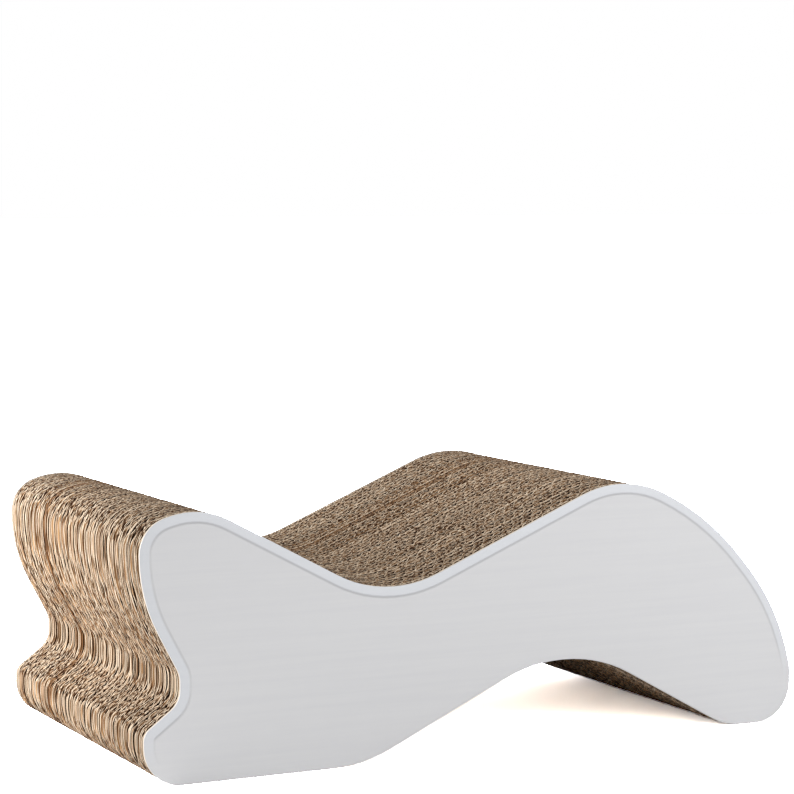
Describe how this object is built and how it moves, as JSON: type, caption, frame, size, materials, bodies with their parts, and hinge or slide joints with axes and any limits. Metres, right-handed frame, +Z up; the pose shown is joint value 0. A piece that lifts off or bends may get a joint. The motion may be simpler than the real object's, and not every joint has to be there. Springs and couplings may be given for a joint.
{
  "type": "cardboard cat scratcher",
  "caption": "Cat scratcher lounge of corrugated boards glued side by side, with a head rest, a seat, a hump, an arch below and white creased side panels.",
  "frame": {"origin": "middle of the footprint, on the floor that the scratcher stands on", "axes": "X runs along the length with +X at the foot end under the hump, +Y runs across the width from the front side panel to the rear one, +Z is up"},
  "size_m": [0.56, 0.294, 0.2],
  "materials": {
    "corrugated_board": "matte",
    "side_panel": "satin"
  },
  "bodies": {
    "root": {"front_side_panel": "side_panel", "board_01": "corrugated_board", "board_02": "corrugated_board", "board_03": "corrugated_board", "board_04": "corrugated_board", "board_05": "corrugated_board", "board_06": "corrugated_board", "board_07": "corrugated_board", "board_08": "corrugated_board", "board_09": "corrugated_board", "board_10": "corrugated_board", "board_11": "corrugated_board", "board_12": "corrugated_board", "board_13": "corrugated_board", "board_14": "corrugated_board", "board_15": "corrugated_board", "board_16": "corrugated_board", "board_17": "corrugated_board", "board_18": "corrugated_board", "board_19": "corrugated_board", "board_20": "corrugated_board", "board_21": "corrugated_board", "board_22": "corrugated_board", "board_23": "corrugated_board", "board_24": "corrugated_board", "board_25": "corrugated_board", "board_26": "corrugated_board", "board_27": "corrugated_board", "board_28": "corrugated_board", "board_29": "corrugated_board", "board_30": "corrugated_board", "board_31": "corrugated_board", "board_32": "corrugated_board", "board_33": "corrugated_board", "board_34": "corrugated_board", "board_35": "corrugated_board", "board_36": "corrugated_board", "board_37": "corrugated_board", "board_38": "corrugated_board", "board_39": "corrugated_board", "board_40": "corrugated_board", "rear_side_panel": "side_panel"}
  },
  "joints": []
}
